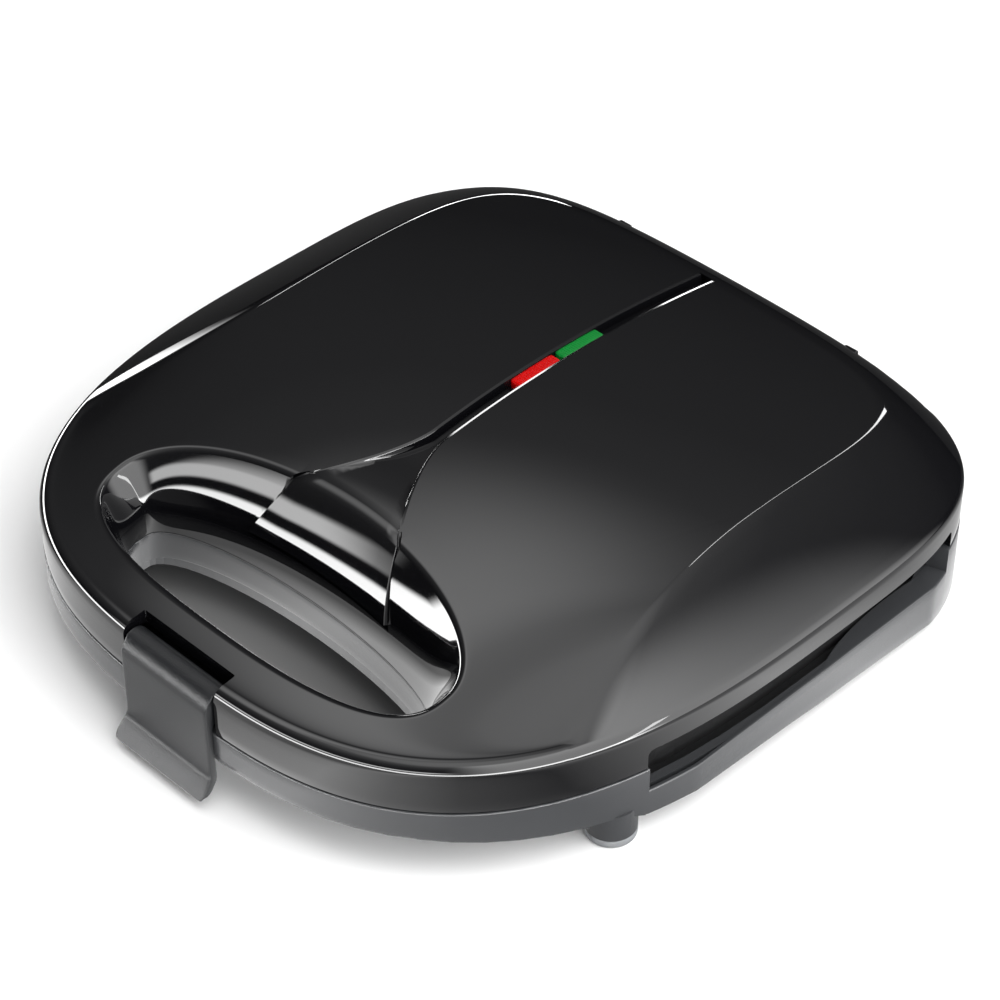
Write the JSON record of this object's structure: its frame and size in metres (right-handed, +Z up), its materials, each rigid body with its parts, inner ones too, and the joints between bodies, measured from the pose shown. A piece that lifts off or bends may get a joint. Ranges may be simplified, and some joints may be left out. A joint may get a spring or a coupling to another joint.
{
  "type": "sandwich toaster",
  "caption": "Slim two-slice sandwich toaster with a domed hinged lid, pocketed cooking plates, a finger opening at the front and a clip that holds it shut.",
  "frame": {"origin": "on the table, under the middle of the whole footprint, clip and cord bush included", "axes": "+Z up; the clip and the finger opening are towards -Y, the hinge towards +Y; +X to the right of someone facing the clip"},
  "size_m": [0.234, 0.2534, 0.0643],
  "materials": {
    "gloss_black": "high gloss",
    "base_black": "gloss",
    "liner_black": "matt",
    "clip_grey": "satin",
    "plate_coat": "non-stick coating",
    "steel": "plain",
    "pan_steel": "mill",
    "rubber": "matt",
    "ceramic": "matt",
    "red_clear": "clear tinted",
    "green_clear": "clear tinted",
    "lamp_glass": "clear"
  },
  "bodies": {
    "base": {"base_shell": "base_black", "base_liner": "liner_black", "lower_plate": "plate_coat", "lower_element": "steel", "lower_reflector": "pan_steel", "lower_element_clips": "steel", "lower_plate_screws": "steel", "base_screws": "steel", "thermostat": "ceramic", "thermal_fuse": "steel", "terminal_block": "ceramic", "cord_bush": "rubber", "foot_front_left": "rubber", "foot_front_right": "rubber", "foot_rear_left": "rubber", "foot_rear_right": "rubber", "hinge_pin_left": "steel", "hinge_pin_right": "steel"},
    "lid": {"lid_shell": "gloss_black", "lid_liner": "liner_black", "upper_plate": "plate_coat", "upper_element": "steel", "upper_reflector": "pan_steel", "upper_element_clips": "steel", "upper_plate_screws": "steel", "lid_screws": "steel", "centre_strip": "gloss_black", "red_lens": "red_clear", "green_lens": "green_clear", "red_lamp": "lamp_glass", "green_lamp": "lamp_glass", "lamp_holder": "ceramic", "lamp_screws": "steel", "clip_pin": "steel"},
    "clip": {"clip": "clip_grey"}
  },
  "joints": [
    {"name": "lid_hinge", "type": "hinge", "parent": "base", "child": "lid", "pos_m": [0, 0.1131, 0.0325], "axis": [-1, 0, 0], "range_deg": [0, 100]},
    {"name": "clip_pivot", "type": "hinge", "parent": "lid", "child": "clip", "pos_m": [0, -0.1122, 0.035], "axis": [-1, 0, 0], "range_deg": [0, 38]}
  ]
}
